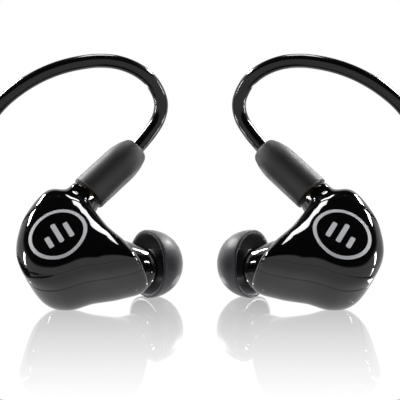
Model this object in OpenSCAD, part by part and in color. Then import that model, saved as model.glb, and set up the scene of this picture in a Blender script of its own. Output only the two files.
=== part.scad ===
// In-ear monitors: two earphones on a detachable over-ear cable.
// Z is up, the faces of the earphones look towards -Y, and all sizes are in millimetres.

/* [Earphone shell] */
// Height of the face dome above the seam
face_h = 5; // [4.6:0.1:5.6]
// Depth of the ear-side dome below the seam
ear_h = 10.4; // [10:0.1:11]
// Squareness of both domes (2 is an ellipse)
dome_power = 3.5; // [3:0.1:4]
// Wall thickness of both shells
shell_wall = 0.9; // [0.7:0.1:1]
// Outer radius of the ring on the face
badge_r = 5.3; // [4.8:0.1:5.5]
// Line width of the ring on the face
badge_line = 0.65; // [0.5:0.05:0.8]

/* [Nozzle and ear tip] */
// Outer radius of the nozzle tube
nozzle_r = 2; // [1.9:0.05:2.1]
// Radius of the sound bore
sound_bore_r = 1.4; // [1.2:0.1:1.5]
// Radius of the ear tip at its rim
tip_r = 6.25; // [5.5:0.05:6.25]
// Height of the ear tip from rim to mouth
tip_h = 6.6; // [6:0.1:7]
// Gap between the nozzle and the ear tip's bore
tip_fit = 0.05; // [0.03:0.01:0.1]

/* [Cable plug] */
// Radius of the plug barrel at the earphone
barrel_r = 3.4; // [3.2:0.1:3.6]
// Length of the plug barrel
barrel_h = 12.6; // [12:0.1:13]
// Radius of the plug's contact shell
plug_r = 1.5; // [1.4:0.05:1.6]
// Gap between the plug and its socket
plug_fit = 0.05; // [0.03:0.01:0.08]
// Radius of the pre-formed ear hook tube
hook_r = 1.3; // [1.2:0.05:1.4]

/* [Cable] */
// Diameter of each branch cord
branch_d = 1.5; // [1.4:0.1:1.6]
// Diameter of the main cord
main_d = 1.9; // [1.8:0.1:1.9]
// Radius of the jack's contacts
jack_r = 1.75; // [1.75:0.01:1.75]
// Length of the jack's contacts
jack_contact_h = 14; // [14:0.1:14]

/* [Hidden] */

fine = 64;
eps = 0.01;

// The whole object is moved by this much along Y, so that its base is centred on the origin.
stand_y = -7.97;

// Left shell: where the middle of its seam sits, and how the shell is turned.
shell_at = [-24.3, -4.8, 11.23];
shell_turn = [32.7, -26.4, 15.4];

// Seam outline in the shell's own plane, run through by a smooth closed curve.
seam = [
    [-7.8, 1.1], [-7.6, -4.2], [-4.6, -7.5], [0.8, -9.2], [5.4, -11.4], [10, -12.6], [10.2, -8.1],
    [9, -2.6], [8.5, 2.1], [7.6, 7.1], [3.7, 11.8], [-2, 9.5], [-5.7, 5.6]];
seam_steps = 3;
dome_rings = 6;
badge_at = [0.5, -0.6];
bar_w = 0.9;
bar_pitch = 2;
bar_h = [2.6, 4.6, 3.6];

// Nozzle axis: through the middle of the ear tip's rim, tilted away from the seam plane.
rim_at = [12.5, -2.3, -12.5];
nozzle_tilt = 36.87;
nozzle_back = 7.5;
nozzle_front = 5;
lobe_root = [5, -3.6, -5];
lobe_root_r = 5.6;
lobe_end = [9.8, -4.4, -9.3];
lobe_end_r = 4.3;

// Plug axis: in the seam plane, through the centre of the barrel's lower end.
plug_at = [9.2, 8.5, 0];
plug_turn = 18;
boss_r = 3.2;
boss_h = 6;
boss_gap = 0.4;
socket_r = 2.2;
socket_h = 6.8;
plug_depth = 4.6;
plug_rise = 2;
pin_r = 0.4;
groove_at = -2.6;
groove_h = 0.5;
groove_r = 1.2;

// Driver: a small dynamic unit, its axis square to the seam plane.
driver_at = [0.6, -1.2, -2];
driver_r = 4.9;
coil_r = 1.7;
board_top = 1.6;
board_posts = [[-2.6, -2.8], [3, -2.8], [0.2, 0.9]];

// Ear hook centreline from the barrel's top to the tube's free end, then the branch cords.
hook_path = [
    [-9.4, 11.2, 29.2], [-7.8, 12.6, 31.6], [-7.2, 13.4, 34.1], [-7.7, 13.6, 36.4], [-9.2, 13.4, 38.9],
    [-11.7, 13, 40.9], [-14.9, 12.5, 42.2], [-18.4, 12, 42.6], [-22, 11.2, 42.3], [-25.6, 10.4, 41.5],
    [-29.2, 9.6, 40.1], [-32.8, 8.8, 38], [-36.2, 8, 35.2], [-39, 7.7, 31.6], [-40.9, 8.4, 27.6],
    [-42, 10.3, 23.6], [-42.6, 13.3, 20], [-43, 17, 17], [-43.3, 20.9, 14.6], [-43.4, 24.4, 12.2],
    [-43.4, 27.2, 9.6], [-43.4, 28.4, 6.6]];
left_path = [
    [-43.4, 28.4, 6.6], [-43.5, 28.9, 4.2], [-43.9, 28.4, 2.1], [-45.4, 26.9, 1], [-48, 25.6, 0.75],
    [-52, 24.2, 0.75], [-57, 21.6, 0.75], [-61.5, 17.2, 0.75], [-64.4, 11, 0.75], [-65.5, 4, 0.75],
    [-65.5, -5, 0.75], [-65.4, -15, 0.75], [-65.4, -25, 0.75], [-65.4, -35, 0.75], [-65.2, -44, 0.75],
    [-63.3, -50.6, 0.75], [-58.8, -54.6, 0.75], [-52, -55.7, 0.75], [-44.8, -55.7, 0.85], [-39.4, -54.8, 1],
    [-36.2, -52.6, 1.3], [-34.94, -49.4, 1.5], [-35.62, -44.45, 1.5], [-36.16, -40.49, 1.5],
    [-37.25, -32.56, 1.5]];
right_path = [
    [43.4, 28.4, 6.6], [43.5, 28.9, 4.2], [43.6, 28.3, 2.1], [43.6, 26, 1], [43.4, 22, 0.75],
    [43, 15, 0.75], [42, 7, 0.75], [40.8, -2, 0.75], [39.6, -11, 0.75], [38.4, -20, 0.75],
    [37.2, -29, 0.75], [35.9, -37, 0.75], [34.4, -44, 0.75], [32.4, -50, 0.75], [28.2, -54.9, 0.75],
    [19, -56.4, 0.75], [5, -56.4, 0.75], [-9, -56.4, 0.75], [-20, -56.4, 0.8], [-26.5, -56, 0.9],
    [-30.6, -54, 1.1], [-32.6, -51.5, 1.35], [-33.06, -49.14, 1.5], [-33.74, -44.19, 1.5],
    [-34.28, -40.23, 1.5], [-35.37, -32.3, 1.5]];

// Splitter: its inlet's middle, and the direction of the cable through it.
split_at = [-36.31, -32.43, 1.6];
split_turn = 97.8;
split_h = 13;
split_relief_h = 5;
slider_from_split = 8;
slider_h = 5;
cord_pitch = 1.9;

// Stored coil of the main cord.
coil_at = [-51.2, 0];
coil_turn_r = [8.6, 10.5, 12.4];
coil_layers = 4;
coil_lift = 0.5;
tie_turn = 135;
tie_w = 5;
tie_wall = 0.5;
lead_in_path = [[-38.75, -14.54, 1.6], [-39.1, -10, 1.5], [-39, -5, 1.45], [-38.8, 0, 1.45]];
lead_out_path = [
    [-63.6, 0, 7.15], [-63.75, -4, 7], [-62.7, -8, 5.8], [-60.6, -11.4, 4.5], [-59.5, -14.4, 4],
    [-59.5, -15.97, 4]];

// Jack: where the cord enters its strain relief; it points along -Y.
jack_at = [-59.5, -16, 4];
jack_relief_h = 7;
jack_housing_h = 14;

// ---------- curves ----------
function spline_point(a, b, c, d, t) =
    0.5 * (2 * b + (c - a) * t + (2 * a - 5 * b + 4 * c - d) * t * t + (3 * b - 3 * c + d - a) * t * t * t);
function closed_spline(p, steps) =
    let (n = len(p))
    [for (i = [0:n - 1], k = [0:steps - 1])
        spline_point(p[(i + n - 1) % n], p[i], p[(i + 1) % n], p[(i + 2) % n], k / steps)];
function open_spline(p, steps) =
    let (n = len(p))
    [for (i = [0:n - 2], k = [0:(i == n - 2 ? steps : steps - 1)])
        spline_point(i == 0 ? 2 * p[0] - p[1] : p[i - 1], p[i], p[i + 1],
                     i == n - 2 ? 2 * p[n - 1] - p[n - 2] : p[i + 2], k / steps)];
function unit(v) = v / norm(v);
function inset(p, wall) = [for (q = p) q * (1 - wall / norm(q))];

// Frames carried along a path without twist, each [tangent, normal].
function tangent(p, i) = unit(p[min(i + 1, len(p) - 1)] - p[max(i - 1, 0)]);
function next_normal(normal, t) = unit(normal - (normal * t) * t);
function path_normals(p) = [for (i = 0, v = next_normal([0.31, 0.9, 0.3], tangent(p, 0)); i < len(p);
    i = i + 1, v = i < len(p) ? next_normal(v, tangent(p, i)) : v) v];

// ---------- shared shapes ----------
// A round cord swept along a path: one closed polyhedron.
module swept(path, r, sides = 8) {
    normals = path_normals(path);
    rings = [for (i = [0:len(path) - 1]) let (t = tangent(path, i), u = normals[i], v = cross(t, u))
        each [for (k = [0:sides - 1]) path[i] + r * (cos(360 * k / sides) * u + sin(360 * k / sides) * v)]];
    last = len(path) - 1;
    polyhedron(rings, concat(
        [[for (k = [0:sides - 1]) k]],
        [for (i = [0:last - 1], k = [0:sides - 1]) let (a = i * sides + k, b = i * sides + (k + 1) % sides)
            each [[a, a + sides, b], [b, a + sides, b + sides]]],
        [[for (k = [sides - 1:-1:0]) last * sides + k]]));
}

// Half of a shell: the outline shrinks to a pole at height h, and starts at a flat face at from_z.
module dome(outline, h, from_z = 0) {
    n = len(outline);
    lift = from_z == 0 ? [] : [[1, from_z]];
    levels = concat(lift, [for (i = [0:dome_rings - 1]) let (a = 90 * i / dome_rings)
        [pow(cos(a), 2 / dome_power), h * pow(sin(a), 2 / dome_power)]]);
    points = [for (l = levels, q = outline) [q[0] * l[0], q[1] * l[0], l[1]], [0, 0, h]];
    top = len(levels) - 1;
    faces = concat(
        [[for (k = [0:n - 1]) k]],
        [for (i = [0:top - 1], k = [0:n - 1]) let (a = i * n + k, b = i * n + (k + 1) % n)
            each [[a, a + n, b], [b, a + n, b + n]]],
        [for (k = [0:n - 1]) [top * n + k, (top + 1) * n, top * n + (k + 1) % n]]);
    polyhedron(points, h > 0 ? faces : [for (f = faces) [for (k = [len(f) - 1:-1:0]) f[k]]]);
}

module ring(r_out, r_in, h) {
    difference() {
        cylinder(r = r_out, h = h, $fn = fine);
        translate([0, 0, -eps]) cylinder(r = r_in, h = h + 2 * eps, $fn = fine);
    }
}

// ---------- places ----------
module stand() { translate([0, stand_y, 0]) children(); }
module side(name) { stand() mirror([name == "right" ? 1 : 0, 0, 0]) children(); }
module in_shell(name) { side(name) translate(shell_at) rotate(shell_turn) children(); }
module on_plug_axis() { translate(plug_at) rotate([0, 0, plug_turn]) rotate([0, 90, 0]) children(); }
module on_nozzle_axis() { translate(rim_at) rotate([0, 90 + nozzle_tilt, 0]) children(); }
module on_driver_axis() { translate(driver_at) children(); }
module on_split_axis() { stand() translate(split_at) rotate([0, 0, split_turn]) rotate([0, 90, 0]) children(); }
module on_jack_axis() { stand() translate(jack_at) rotate([90, 0, 0]) children(); }

// ---------- shells ----------
outer_outline = closed_spline(seam, seam_steps);
inner_outline = inset(outer_outline, shell_wall);

// The boss round the plug socket, cut at the seam: half 1 is the face side, half -1 the ear side.
module boss_half(half) {
    intersection() {
        on_plug_axis() translate([0, 0, -boss_h - boss_gap]) cylinder(r = boss_r, h = boss_h, $fn = fine);
        translate([0, 0, half * 10]) cube([60, 60, 20], center = true);
    }
}

module socket_bore() {
    on_plug_axis() translate([0, 0, -socket_h - 2]) cylinder(r = socket_r, h = socket_h + 2, $fn = fine);
}

module outer_shell() {
    color("#0b0b0d") difference() {
        union() {
            dome(outer_outline, face_h);
            boss_half(1);
        }
        difference() {
            dome(inner_outline, face_h - shell_wall, -1);
            for (post = board_posts) translate([post[0], post[1], board_top]) cylinder(r = 0.6, h = face_h, $fn = 24);
        }
        socket_bore();
        badge_shape();
    }
}

module inner_shell() {
    color("#141416") difference() {
        union() {
            dome(outer_outline, -ear_h);
            hull() {
                translate(lobe_root) sphere(r = lobe_root_r, $fn = 24);
                translate(lobe_end) sphere(r = lobe_end_r, $fn = 24);
            }
            boss_half(-1);
        }
        difference() {
            dome(inner_outline, -(ear_h - shell_wall), 1);
            baffle();
        }
        socket_bore();
        on_nozzle_axis() translate([0, 0, -nozzle_back]) cylinder(r = nozzle_r, h = 12, $fn = fine);
        vent_hole();
    }
}

// Plate across the ear-side shell that holds the driver and parts its front from its back.
module baffle() {
    on_driver_axis() translate([0, 0, -1.4]) difference() {
        translate([-20, -20, 0]) cube([40, 40, 0.8]);
        translate([0, 0, -1]) cylinder(r = driver_r, h = 3, $fn = fine);
    }
}

// Face mark: a plain ring around three level bars, let into the face.
module badge_shape() {
    translate([badge_at[0], badge_at[1], 0]) {
        translate([0, 0, face_h - 0.6]) ring(badge_r, badge_r - badge_line, 0.45);
        for (i = [0:2])
            translate([(i - 1) * bar_pitch - bar_w / 2, -2.2, face_h - 0.4]) cube([bar_w, bar_h[i], 0.42]);
    }
}
module face_badge() { color("#b9babc") badge_shape(); }

module vent_at() { translate([9.2, -6.2, -3.2]) rotate([0, 90, 0]) children(); }
module vent_hole() { vent_at() cylinder(r = 0.8, h = 4, $fn = fine); }
module vent_screen() { color("#6a6c70") vent_at() cylinder(r = 0.8, h = 0.4, $fn = fine); }

// ---------- nozzle and ear tip ----------
module nozzle() {
    color("#26272a") on_nozzle_axis() translate([0, 0, -nozzle_back])
        ring(nozzle_r, sound_bore_r, nozzle_back + nozzle_front);
}

module nozzle_screen() {
    color("#9a9c9f") on_nozzle_axis() translate([0, 0, nozzle_front - 0.4])
        difference() {
            cylinder(r = sound_bore_r, h = 0.3, $fn = fine);
            for (a = [0:60:359]) rotate(a) translate([0.75, 0, -eps]) cylinder(r = 0.18, h = 1, $fn = 16);
        }
}

// Half section of the ear tip: an umbrella that opens back over its own stem.
module ear_tip() {
    stem = nozzle_r + 0.7;
    stem_from = 0.5;
    color("#3a3b3e") on_nozzle_axis() difference() {
        rotate_extrude($fn = fine) difference() {
            union() {
                intersection() {
                    scale([tip_r, tip_h]) circle(r = 1, $fn = fine);
                    square([tip_r, tip_h]);
                }
                translate([0, stem_from]) square([stem, tip_h * 0.8 - stem_from]);
            }
            difference() {
                intersection() {
                    scale([tip_r - 0.7, tip_h - 1.6]) circle(r = 1, $fn = fine);
                    translate([0, -eps]) square([tip_r, tip_h]);
                }
                translate([-1, -1]) square([stem + 1, tip_h + 2]);
            }
        }
        translate([0, 0, -1]) cylinder(r = nozzle_r + tip_fit, h = nozzle_front + 1 + tip_fit, $fn = fine);
        translate([0, 0, -1]) cylinder(r = stem + 0.01, h = 1 + stem_from, $fn = fine);
        cylinder(r = sound_bore_r + 0.3, h = tip_h + 1, $fn = fine);
    }
}

// ---------- socket and plug ----------
module socket_body() {
    color("#b08d3f") on_plug_axis() translate([0, 0, -boss_gap - socket_h]) difference() {
        cylinder(r = socket_r, h = socket_h, $fn = fine);
        translate([0, 0, socket_h - plug_depth - 0.4])
            cylinder(r = plug_r + plug_fit, h = plug_depth + 1, $fn = fine);
        translate([0, 0, -eps]) cylinder(r = 1.1, h = socket_h, $fn = fine);
    }
}

module socket_insulator() {
    color("#e9e7df") on_plug_axis() translate([0, 0, -boss_gap - socket_h])
        ring(1.1, pin_r + 0.2, socket_h - plug_depth - 0.6);
}

module snap_ring() {
    color("#c9cbce") on_plug_axis() translate([0, 0, groove_at + 0.05]) difference() {
        ring(plug_r + 0.03, groove_r + 0.05, groove_h - 0.1);
        translate([0.4, -0.3, -eps]) cube([2, 0.6, 1]);
    }
}

module plug_shell() {
    color("#c8a553") on_plug_axis() difference() {
        translate([0, 0, -plug_depth]) cylinder(r = plug_r, h = plug_depth + plug_rise, $fn = fine);
        translate([0, 0, -plug_depth - eps]) cylinder(r = 0.8, h = plug_depth + plug_rise + 1, $fn = fine);
        translate([0, 0, groove_at]) ring(plug_r + 1, groove_r, groove_h);
    }
}

module plug_pin() {
    color("#d9b86a") on_plug_axis() translate([0, 0, -plug_depth - 0.4]) {
        cylinder(r = pin_r, h = plug_depth + plug_rise + 0.4, $fn = fine);
        translate([0, 0, plug_depth + 0.9]) cylinder(r = 0.8, h = 1, $fn = fine);
    }
}

module plug_barrel() {
    straight = barrel_h * 0.62;
    top_r = 2.3;
    color("#1c1c1e") on_plug_axis() rotate_extrude($fn = fine) difference() {
        union() {
            translate([0, 0.3]) square([barrel_r, straight - 0.3]);
            square([barrel_r - 0.3, 1]);
            translate([0, straight]) intersection() {
                scale([barrel_r, (barrel_h - straight) * 1.36]) circle(r = 1, $fn = fine);
                square([barrel_r, barrel_h - straight]);
            }
        }
        translate([-1, -1]) square([plug_r + 1, plug_rise + 1]);
        translate([-1, -1]) square([0.86 + 1, barrel_h + 2]);
    }
}

// ---------- driver and board ----------
module driver_frame() {
    color("#8c8f94") on_driver_axis() translate([0, 0, -3.2]) {
        ring(driver_r, driver_r - 0.5, 2.6);
        translate([0, 0, 2.6]) ring(driver_r, 3.3, 0.4);
    }
}

module driver_yoke() {
    color("#7d8085") on_driver_axis() translate([0, 0, -1]) {
        ring(3.3, 2.9, 2.2);
        translate([0, 0, 1.8]) cylinder(r = 2.9, h = 0.4, $fn = fine);
        translate([0, 0, -0.6]) ring(coil_r - 0.35, 0.5, 2.4);
    }
}

module driver_magnet() {
    color("#4b4d52") on_driver_axis() translate([0, 0, -0.6]) ring(2.8, coil_r + 0.4, 1.4);
}

module voice_coil() {
    color("#b5652e") on_driver_axis() translate([0, 0, -2.4]) ring(coil_r + 0.15, coil_r - 0.15, 1.9);
}

module diaphragm() {
    color("#d8cfae") on_driver_axis() translate([0, 0, -2.6]) {
        difference() {
            ring(driver_r - 0.5, coil_r, 0.12);
            ring(3.4, 3.2, 0.06);
        }
        cylinder(r = coil_r, h = 0.2, $fn = fine);
    }
}

module driver_cover() {
    color("#a4a7ab") on_driver_axis() translate([0, 0, -3.7]) difference() {
        cylinder(r = driver_r, h = 0.5, $fn = fine);
        for (a = [0:60:359]) rotate(a) translate([2.6, 0, -eps]) cylinder(r = 0.6, h = 1, $fn = fine);
        translate([0, 0, -eps]) cylinder(r = 0.8, h = 1, $fn = fine);
    }
}

module crossover_board() {
    color("#1f5a3a") translate([0.2, -1, board_top - 0.6]) {
        translate([-3.5, -2.5, 0]) cube([7, 5, 0.6]);
        for (x = [-2, 0.6]) translate([x, -1, 0.6]) cube([1.6, 0.9, 0.6]);
    }
}

// ---------- hook, branches and splitter ----------
function rotate_z(p, a) = [p[0] * cos(a) - p[1] * sin(a), p[0] * sin(a) + p[1] * cos(a), p[2]];
function rotate_y(p, a) = [p[0] * cos(a) + p[2] * sin(a), p[1], -p[0] * sin(a) + p[2] * cos(a)];
function rotate_x(p, a) = [p[0], p[1] * cos(a) - p[2] * sin(a), p[1] * sin(a) + p[2] * cos(a)];
function from_shell(p) =
    shell_at + rotate_z(rotate_y(rotate_x(p, shell_turn[0]), shell_turn[1]), shell_turn[2]);
barrel_top = from_shell(plug_at + barrel_h * [cos(plug_turn), sin(plug_turn), 0]);

module hook_tube() { color("#101012") swept(open_spline(concat([barrel_top], hook_path), 2), hook_r, 10); }
module branch_cord(path) { color("#161618") stand() swept(open_spline(path, 2), branch_d / 2); }

// A flat pill lying across Z, its long side along the row of cords.
module pill(w, t, h) {
    hull() for (y = [-1, 1]) translate([0, y * (w - t) / 2, 0]) cylinder(d = t, h = h, $fn = 48);
}
module cord_pair_bores(r, h) {
    for (y = [-1, 1]) translate([0.1, y * cord_pitch / 2, -eps]) cylinder(r = r, h = h, $fn = fine);
}

module splitter_housing() {
    color("#18181a") on_split_axis() difference() {
        translate([0, 0, -3]) pill(5.8, 3.2, split_h + 3);
        translate([0, 0, -3]) cord_pair_bores(branch_d / 2 + 0.02, 3 + eps);
    }
}

module splitter_relief() {
    color("#202022") on_split_axis() translate([0, 0, split_h])
        cylinder(r1 = 1.6, r2 = 1.2, h = split_relief_h, $fn = fine);
}

module cable_slider() {
    color("#202022") on_split_axis() translate([0, 0, -slider_from_split - slider_h]) difference() {
        translate([0.1, 0, 0]) pill(5.2, 3, slider_h);
        cord_pair_bores(branch_d / 2 + 0.12, slider_h + 1);
    }
}

// ---------- main cord, coil and jack ----------
coil_out_r = coil_turn_r[2] + main_d / 2;
coil_in_r = coil_turn_r[0] - main_d / 2;
coil_h = coil_layers * main_d;

module main_cord_lead_in() { color("#161618") stand() swept(open_spline(lead_in_path, 3), main_d / 2); }
module main_cord_lead_out() { color("#161618") stand() swept(open_spline(lead_out_path, 3), main_d / 2); }

module main_cord_coil() {
    color("#161618") stand() translate([coil_at[0], coil_at[1], coil_lift]) ring(coil_out_r, coil_in_r, coil_h);
}

module coil_tie() {
    span = coil_out_r - coil_in_r + 0.8;
    color("#2a2a2c") stand() translate([coil_at[0], coil_at[1], 0]) rotate(tie_turn)
        translate([coil_in_r - 0.6, -tie_w / 2, 0]) difference() {
            translate([-tie_wall, 0, 0]) cube([span + 2 * tie_wall, tie_w, coil_h + coil_lift + tie_wall]);
            translate([0, -1, coil_lift]) cube([span, tie_w + 2, coil_h]);
        }
}

module jack_relief() {
    color("#202022") on_jack_axis() cylinder(r1 = 1.5, r2 = 2.2, h = jack_relief_h, $fn = fine);
}

module jack_housing() {
    color("#18181a") on_jack_axis() translate([0, 0, jack_relief_h]) rotate_extrude($fn = fine) difference() {
        union() {
            translate([0, 1]) square([4, jack_housing_h - 1.6]);
            square([3, jack_housing_h]);
            translate([3, 1]) circle(r = 1, $fn = fine);
            translate([3.4, jack_housing_h - 0.6]) circle(r = 0.6, $fn = fine);
        }
        translate([-9, -9]) square([9, 40]);
    }
}

module jack_part(from_h) { on_jack_axis() translate([0, 0, jack_relief_h + jack_housing_h + from_h]) children(); }
module jack_sleeve() { color("#c9cbce") jack_part(0) ring(jack_r, 1.2, 6.2); }
module jack_ring() { color("#c9cbce") jack_part(6.9) ring(jack_r, 1.2, 2.4); }
module jack_insulators() {
    color("#101012") jack_part(0) {
        ring(1.2, 0.7, 10);
        translate([0, 0, 6.2]) ring(jack_r, 1.2, 0.7);
        translate([0, 0, 9.3]) ring(jack_r, 1.2, 0.7);
    }
}
module jack_tip() {
    color("#c9cbce") jack_part(0) {
        cylinder(r = 0.7, h = 10, $fn = fine);
        translate([0, 0, 10]) rotate_extrude($fn = fine)
            polygon([[0, 0], [1.75, 0], [1.75, 0.5], [1.3, 1.2], [1.7, 2.1], [0.5, 4], [0, 4]]);
    }
}

// ---------- the assembly ----------
in_shell("left") outer_shell();  // left_outer_shell
in_shell("left") inner_shell();  // left_inner_shell
in_shell("left") face_badge();  // left_face_badge
in_shell("left") nozzle();  // left_nozzle
in_shell("left") nozzle_screen();  // left_nozzle_screen
in_shell("left") ear_tip();  // left_ear_tip
in_shell("left") socket_body();  // left_socket_body
in_shell("left") socket_insulator();  // left_socket_insulator
in_shell("left") vent_screen();  // left_vent_screen
in_shell("left") crossover_board();  // left_crossover_board
in_shell("left") driver_frame();  // left_driver_frame
in_shell("left") driver_yoke();  // left_driver_yoke
in_shell("left") driver_magnet();  // left_driver_magnet
in_shell("left") voice_coil();  // left_voice_coil
in_shell("left") diaphragm();  // left_diaphragm
in_shell("left") driver_cover();  // left_driver_cover
in_shell("left") snap_ring();  // left_snap_ring
in_shell("left") plug_shell();  // left_plug_shell
in_shell("left") plug_pin();  // left_plug_pin
in_shell("left") plug_barrel();  // left_plug_barrel
side("left") hook_tube();  // left_hook_tube
branch_cord(left_path);  // left_branch_cord
in_shell("right") outer_shell();  // right_outer_shell
in_shell("right") inner_shell();  // right_inner_shell
in_shell("right") face_badge();  // right_face_badge
in_shell("right") nozzle();  // right_nozzle
in_shell("right") nozzle_screen();  // right_nozzle_screen
in_shell("right") ear_tip();  // right_ear_tip
in_shell("right") socket_body();  // right_socket_body
in_shell("right") socket_insulator();  // right_socket_insulator
in_shell("right") vent_screen();  // right_vent_screen
in_shell("right") crossover_board();  // right_crossover_board
in_shell("right") driver_frame();  // right_driver_frame
in_shell("right") driver_yoke();  // right_driver_yoke
in_shell("right") driver_magnet();  // right_driver_magnet
in_shell("right") voice_coil();  // right_voice_coil
in_shell("right") diaphragm();  // right_diaphragm
in_shell("right") driver_cover();  // right_driver_cover
in_shell("right") snap_ring();  // right_snap_ring
in_shell("right") plug_shell();  // right_plug_shell
in_shell("right") plug_pin();  // right_plug_pin
in_shell("right") plug_barrel();  // right_plug_barrel
side("right") hook_tube();  // right_hook_tube
branch_cord(right_path);  // right_branch_cord
cable_slider();
splitter_housing();
splitter_relief();
main_cord_lead_in();
main_cord_coil();
main_cord_lead_out();
coil_tie();
jack_relief();
jack_housing();
jack_sleeve();
jack_ring();
jack_tip();
jack_insulators();
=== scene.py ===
"""In-ear monitors: two glossy earphones on a detachable over-ear cable.

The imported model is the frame, in metres, with Z up and the faces of the earphones towards -Y.
Sizes in the classes are in millimetres, as on a drawing, and the places turn them into metres.
"""

import logging
import math
from dataclasses import dataclass, field
from enum import Enum
from typing import Any, Iterable, Sequence

import bmesh
import bpy
import numpy as np
from mathutils import Euler, Matrix, Vector


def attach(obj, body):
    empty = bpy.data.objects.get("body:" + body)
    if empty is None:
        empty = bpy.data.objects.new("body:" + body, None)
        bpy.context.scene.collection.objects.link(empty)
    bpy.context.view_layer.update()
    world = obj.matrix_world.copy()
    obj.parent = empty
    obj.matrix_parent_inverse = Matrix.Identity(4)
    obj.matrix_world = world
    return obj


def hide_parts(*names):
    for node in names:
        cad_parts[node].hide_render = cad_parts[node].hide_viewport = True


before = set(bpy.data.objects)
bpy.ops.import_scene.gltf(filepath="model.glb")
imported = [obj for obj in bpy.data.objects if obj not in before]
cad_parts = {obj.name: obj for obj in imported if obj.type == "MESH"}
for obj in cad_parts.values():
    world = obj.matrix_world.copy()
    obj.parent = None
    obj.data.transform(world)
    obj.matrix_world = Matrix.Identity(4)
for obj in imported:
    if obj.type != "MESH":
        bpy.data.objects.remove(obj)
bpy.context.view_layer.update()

log = logging.getLogger("in_ear_monitors")

MM = 0.001
STAND_Y = -7.97
PLUG_AT = (9.2, 8.5, 0.0)
PLUG_TURN = 18.0
SHARP = 38.0
Points = np.ndarray
Faces = list[tuple[int, ...]]


# ---------- small tools ----------
def linear(colour: str) -> tuple[float, float, float, float]:
    """Turns an sRGB hex colour into a linear RGBA.

    Args:
        colour: Six hex digits after a hash sign.

    Returns:
        Linear red, green, blue and an alpha of 1.
    """
    parts = [int(colour[i:i + 2], 16) / 255 for i in (1, 3, 5)]
    red, green, blue = (c / 12.92 if c <= 0.04045 else ((c + 0.055) / 1.055) ** 2.4 for c in parts)
    return red, green, blue, 1.0


def add_node(tree: bpy.types.NodeTree, kind: str, settings: dict[str, Any] | None = None,
             inputs: dict[Any, Any] | None = None) -> bpy.types.Node:
    """Adds a node with its settings and its links.

    Args:
        tree: The tree that takes the node.
        kind: The node type's name.
        settings: Properties of the node.
        inputs: Values, or output sockets to link, by the input's name or number.

    Returns:
        The new node.
    """
    made = tree.nodes.new(kind)
    for name, value in (settings or {}).items():
        setattr(made, name, value)
    for key, value in (inputs or {}).items():
        socket = made.inputs[key]
        if isinstance(value, bpy.types.NodeSocket):
            tree.links.new(value, socket)
        else:
            socket.default_value = value
    return made


# ---------- finishes ----------
class Grain(Enum):
    """The small relief that a surface keeps from how it was made."""

    MOULDED = "moulded"
    SPARKED = "sparked"
    BRUSHED = "brushed"
    WOVEN = "woven"


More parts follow.
